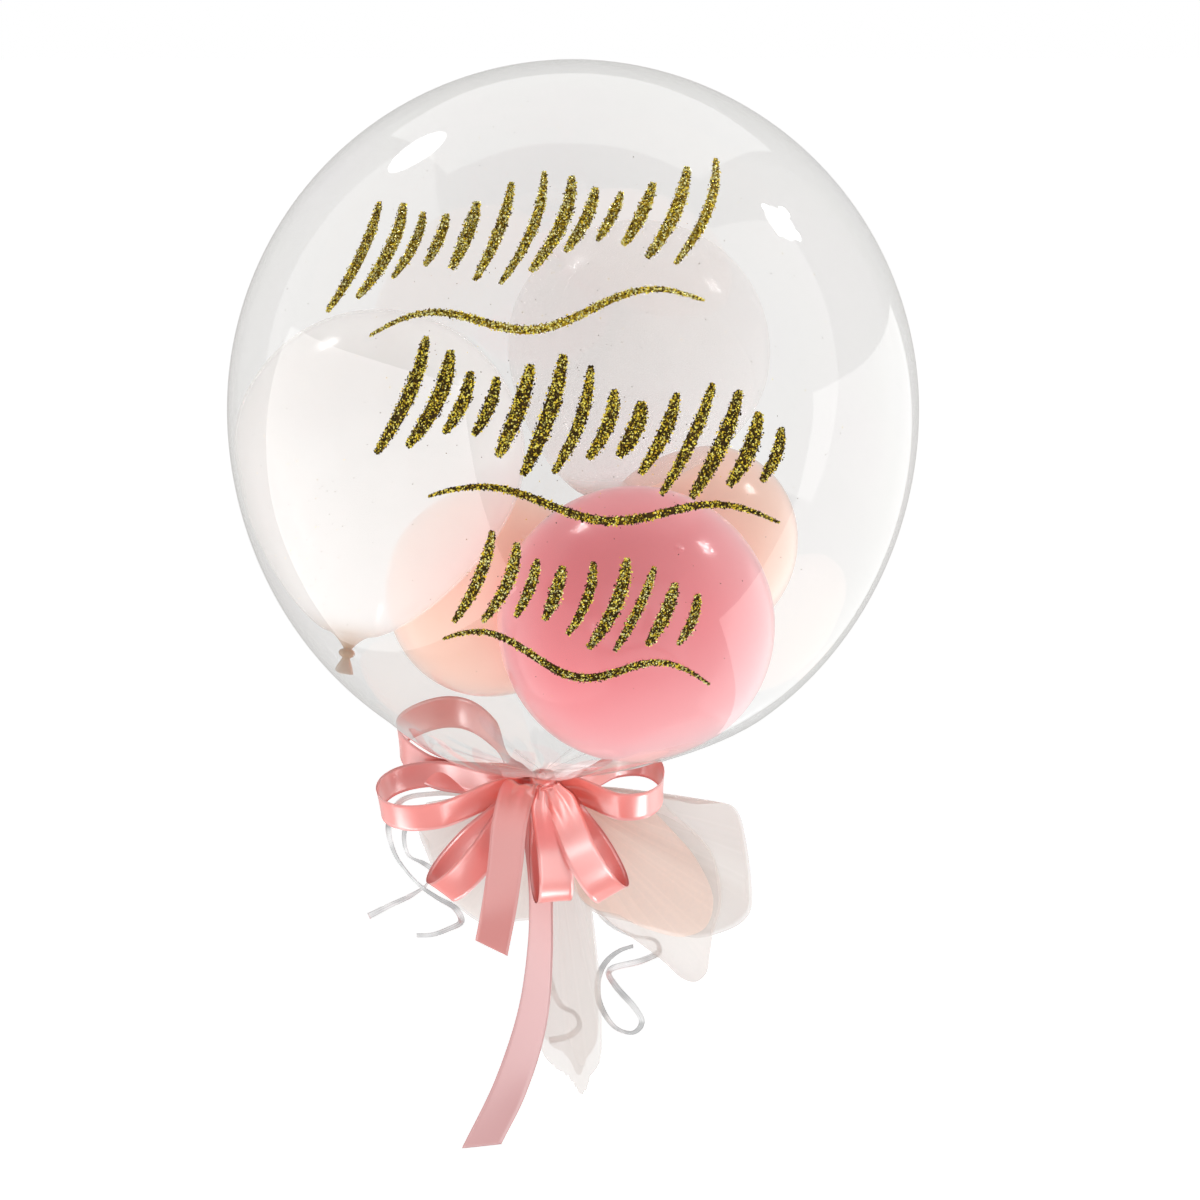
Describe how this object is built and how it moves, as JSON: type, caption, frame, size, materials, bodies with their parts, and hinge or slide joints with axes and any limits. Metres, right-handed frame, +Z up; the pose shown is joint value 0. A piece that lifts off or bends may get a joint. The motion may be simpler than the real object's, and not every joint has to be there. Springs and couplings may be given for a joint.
{
  "type": "clear bubble balloon",
  "caption": "Clear round bubble balloon holding small latex balloons, tied at the neck over a satin bow, a tulle bow and curling ribbons.",
  "frame": {"origin": "middle of the neck tie, on its axis", "axes": "+Z up through the bubble, +X to the right seen from the front, +Y to the back"},
  "size_m": [0.61, 0.61, 1.0092],
  "materials": {
    "film": "clear stretched film, glossy",
    "elastic": "matt",
    "satin": "double-faced satin, soft sheen",
    "tulle": "fine stiff net in several layers",
    "foil_ribbon": "pearly, glossy",
    "latex_pink": "glossy latex",
    "latex_peach": "glossy latex",
    "latex_pearl": "thin translucent pearly latex",
    "glitter": "coarse gold glitter"
  },
  "bodies": {
    "root": {"bubble": "film", "neck_tie": "elastic", "satin_bow": "satin", "tulle_bow": "tulle", "curling_ribbon_1": "foil_ribbon", "curling_ribbon_2": "foil_ribbon", "curling_ribbon_3": "foil_ribbon", "curling_ribbon_4": "foil_ribbon"}
  },
  "joints": []
}
